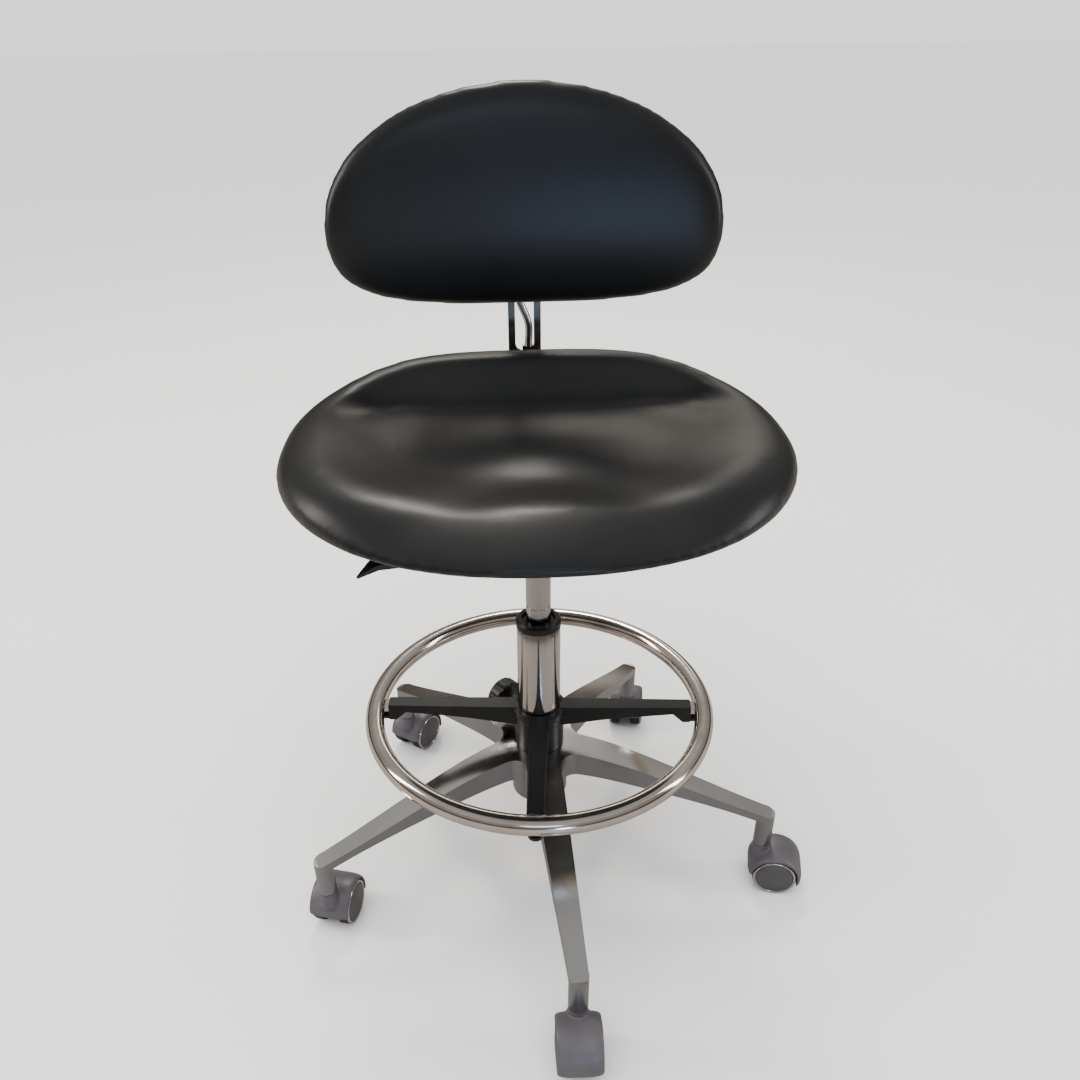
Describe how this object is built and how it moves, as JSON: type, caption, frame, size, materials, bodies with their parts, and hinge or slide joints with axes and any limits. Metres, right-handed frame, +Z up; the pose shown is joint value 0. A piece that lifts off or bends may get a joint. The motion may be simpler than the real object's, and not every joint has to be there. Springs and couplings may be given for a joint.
{
  "type": "dentist stool",
  "caption": "Height-adjustable swivel stool with contoured seat, kidney-shaped backrest, clamped foot ring and five-arm castor base.",
  "frame": {"origin": "on the floor, on the axis of the column", "axes": "+Z up along the column, -Y the way the sitter faces, +X to the right of someone looking at the front of the stool"},
  "size_m": [0.6225, 0.6429, 0.894],
  "materials": {
    "polished_aluminium": "polished casting",
    "chrome_steel": "polished chrome plate",
    "steel": "satin",
    "black_plastic": "fine satin moulding",
    "gloss_black_plastic": "gloss moulding",
    "grey_plastic": "satin moulding",
    "black_vinyl": "satin upholstery vinyl over moulded foam, fine grain",
    "board": "dark lacquered plywood",
    "black_paint": "satin black powder coat",
    "bearing_brass": "plain",
    "nylon": "nylon bush"
  },
  "bodies": {
    "base": {"base_star": "polished_aluminium", "column_tube": "chrome_steel", "column_collar": "black_plastic", "guide_sleeve": "nylon", "thrust_bearing": "bearing_brass"},
    "gas_rod": {"piston_rod": "steel", "rod_clip": "steel"},
    "seat_unit": {"gas_cylinder": "chrome_steel", "seat_mechanism": "black_paint", "lever_pin": "steel", "seat_bolts": "steel", "seat_board": "board", "seat_cushion": "black_vinyl", "back_arm": "chrome_steel", "back_arm_stay": "chrome_steel", "back_arm_bolts": "steel"},
    "lever": {"lift_lever": "black_paint", "lever_paddle": "gloss_black_plastic"},
    "button": {"release_button": "steel"},
    "back_carrier": {"back_slider": "black_plastic", "back_pin": "steel"},
    "back_clamp": {"back_knob": "black_plastic", "back_stud": "steel"},
    "backrest": {"back_bracket": "black_paint", "back_screws": "steel", "back_board": "black_plastic", "back_cushion": "black_vinyl"},
    "ring_sleeve": {"ring_bush": "nylon"},
    "ring": {"ring_hub": "black_plastic", "foot_ring": "chrome_steel", "ring_screws": "black_paint"},
    "ring_clamp": {"ring_knob": "black_plastic", "ring_stud": "steel"},
    "castor_1": {"castor_1_hood": "grey_plastic", "castor_1_stem": "steel", "castor_1_axle": "steel"},
    "wheel_1_left": {"castor_1_wheel_left": "grey_plastic"},
    "wheel_1_right": {"castor_1_wheel_right": "grey_plastic"},
    "castor_2": {"castor_2_hood": "grey_plastic", "castor_2_stem": "steel", "castor_2_axle": "steel"},
    "wheel_2_left": {"castor_2_wheel_left": "grey_plastic"},
    "wheel_2_right": {"castor_2_wheel_right": "grey_plastic"},
    "castor_3": {"castor_3_hood": "grey_plastic", "castor_3_stem": "steel", "castor_3_axle": "steel"},
    "wheel_3_left": {"castor_3_wheel_left": "grey_plastic"},
    "wheel_3_right": {"castor_3_wheel_right": "grey_plastic"},
    "castor_4": {"castor_4_hood": "grey_plastic", "castor_4_stem": "steel", "castor_4_axle": "steel"},
    "wheel_4_left": {"castor_4_wheel_left": "grey_plastic"},
    "wheel_4_right": {"castor_4_wheel_right": "grey_plastic"},
    "castor_5": {"castor_5_hood": "grey_plastic", "castor_5_stem": "steel", "castor_5_axle": "steel"},
    "wheel_5_left": {"castor_5_wheel_left": "grey_plastic"},
    "wheel_5_right": {"castor_5_wheel_right": "grey_plastic"}
  },
  "joints": [
    {"name": "seat_swivel", "type": "hinge", "parent": "base", "child": "gas_rod", "pos_m": [0, 0, 0.12], "axis": [0, 0, 1], "continuous": true},
    {"name": "seat_height", "type": "slide", "parent": "gas_rod", "child": "seat_unit", "axis": [0, 0, 1], "range_m": [-0.1, 0.08]},
    {"name": "lever_lift", "type": "hinge", "parent": "seat_unit", "child": "lever", "pos_m": [-0.02331, -0.01888, 0.524], "axis": [-0.6293, 0.7771, 0], "range_deg": [0, 3], "stiffness_Nm_per_rad": 3, "springref_deg": -6.88},
    {"name": "valve_press", "type": "slide", "parent": "seat_unit", "child": "button", "axis": [0, 0, 1], "range_m": [-0.0017, 0]},
    {"name": "back_height", "type": "slide", "parent": "seat_unit", "child": "back_carrier", "axis": [0, 0, 1], "range_m": [-0.03, 0.03]},
    {"name": "back_knob_turn", "type": "hinge", "parent": "back_carrier", "child": "back_clamp", "pos_m": [0, 0.29, 0.745], "axis": [0, 1, 0], "range_deg": [0, 360]},
    {"name": "back_tilt", "type": "hinge", "parent": "back_carrier", "child": "backrest", "pos_m": [0, 0.257, 0.745], "axis": [1, 0, 0], "range_deg": [-10, 10]},
    {"name": "ring_height", "type": "slide", "parent": "base", "child": "ring_sleeve", "axis": [0, 0, 1], "range_m": [0, 0.11]},
    {"name": "ring_turn", "type": "hinge", "parent": "ring_sleeve", "child": "ring", "pos_m": [0, 0, 0.247], "axis": [0, 0, 1], "continuous": true},
    {"name": "ring_knob_turn", "type": "hinge", "parent": "ring", "child": "ring_clamp", "pos_m": [-0.04035, 0.04707, 0.227], "axis": [-0.6508, 0.7593, 0], "range_deg": [0, 360]},
    {"name": "castor_1_swivel", "type": "hinge", "parent": "base", "child": "castor_1", "pos_m": [0.02426, -0.28296, 0.06], "axis": [0, 0, 1], "continuous": true},
    {"name": "castor_1_left_roll", "type": "hinge", "parent": "castor_1", "child": "wheel_1_left", "pos_m": [0.02391, -0.30296, 0.0275], "axis": [0.9998, -0.0175, 0], "continuous": true},
    {"name": "castor_1_right_roll", "type": "hinge", "parent": "castor_1", "child": "wheel_1_right", "pos_m": [0.02391, -0.30296, 0.0275], "axis": [0.9998, -0.0175, 0], "continuous": true},
    {"name": "castor_2_swivel", "type": "hinge", "parent": "base", "child": "castor_2", "pos_m": [0.27661, -0.06437, 0.06], "axis": [0, 0, 1], "continuous": true},
    {"name": "castor_2_left_roll", "type": "hinge", "parent": "castor_2", "child": "wheel_2_left", "pos_m": [0.2961, -0.06887, 0.0275], "axis": [0.225, 0.9744, 0], "continuous": true},
    {"name": "castor_2_right_roll", "type": "hinge", "parent": "castor_2", "child": "wheel_2_right", "pos_m": [0.2961, -0.06887, 0.0275], "axis": [0.225, 0.9744, 0], "continuous": true},
    {"name": "castor_3_swivel", "type": "hinge", "parent": "base", "child": "castor_3", "pos_m": [0.14669, 0.24318, 0.06], "axis": [0, 0, 1], "continuous": true},
    {"name": "castor_3_left_roll", "type": "hinge", "parent": "castor_3", "child": "wheel_3_left", "pos_m": [0.14948, 0.26299, 0.0275], "axis": [-0.9903, 0.1392, 0], "continuous": true},
    {"name": "castor_3_right_roll", "type": "hinge", "parent": "castor_3", "child": "wheel_3_right", "pos_m": [0.14948, 0.26299, 0.0275], "axis": [-0.9903, 0.1392, 0], "continuous": true},
    {"name": "castor_4_swivel", "type": "hinge", "parent": "base", "child": "castor_4", "pos_m": [-0.18595, 0.21466, 0.06], "axis": [0, 0, 1], "continuous": true},
    {"name": "castor_4_left_roll", "type": "hinge", "parent": "castor_4", "child": "wheel_4_left", "pos_m": [-0.17505, 0.23144, 0.0275], "axis": [-0.8387, 0.5446, 0], "continuous": true},
    {"name": "castor_4_right_roll", "type": "hinge", "parent": "castor_4", "child": "wheel_4_right", "pos_m": [-0.17505, 0.23144, 0.0275], "axis": [-0.8387, 0.5446, 0], "continuous": true},
    {"name": "castor_5_swivel", "type": "hinge", "parent": "base", "child": "castor_5", "pos_m": [-0.26162, -0.11051, 0.06], "axis": [0, 0, 1], "continuous": true},
    {"name": "castor_5_left_roll", "type": "hinge", "parent": "castor_5", "child": "wheel_5_left", "pos_m": [-0.25644, -0.09119, 0.0275], "axis": [-0.9659, 0.2588, 0], "continuous": true},
    {"name": "castor_5_right_roll", "type": "hinge", "parent": "castor_5", "child": "wheel_5_right", "pos_m": [-0.25644, -0.09119, 0.0275], "axis": [-0.9659, 0.2588, 0], "continuous": true}
  ],
  "couplings": [
    {"joint": "valve_press", "follows": "lever_lift", "m_per_rad": -0.0309}
  ]
}
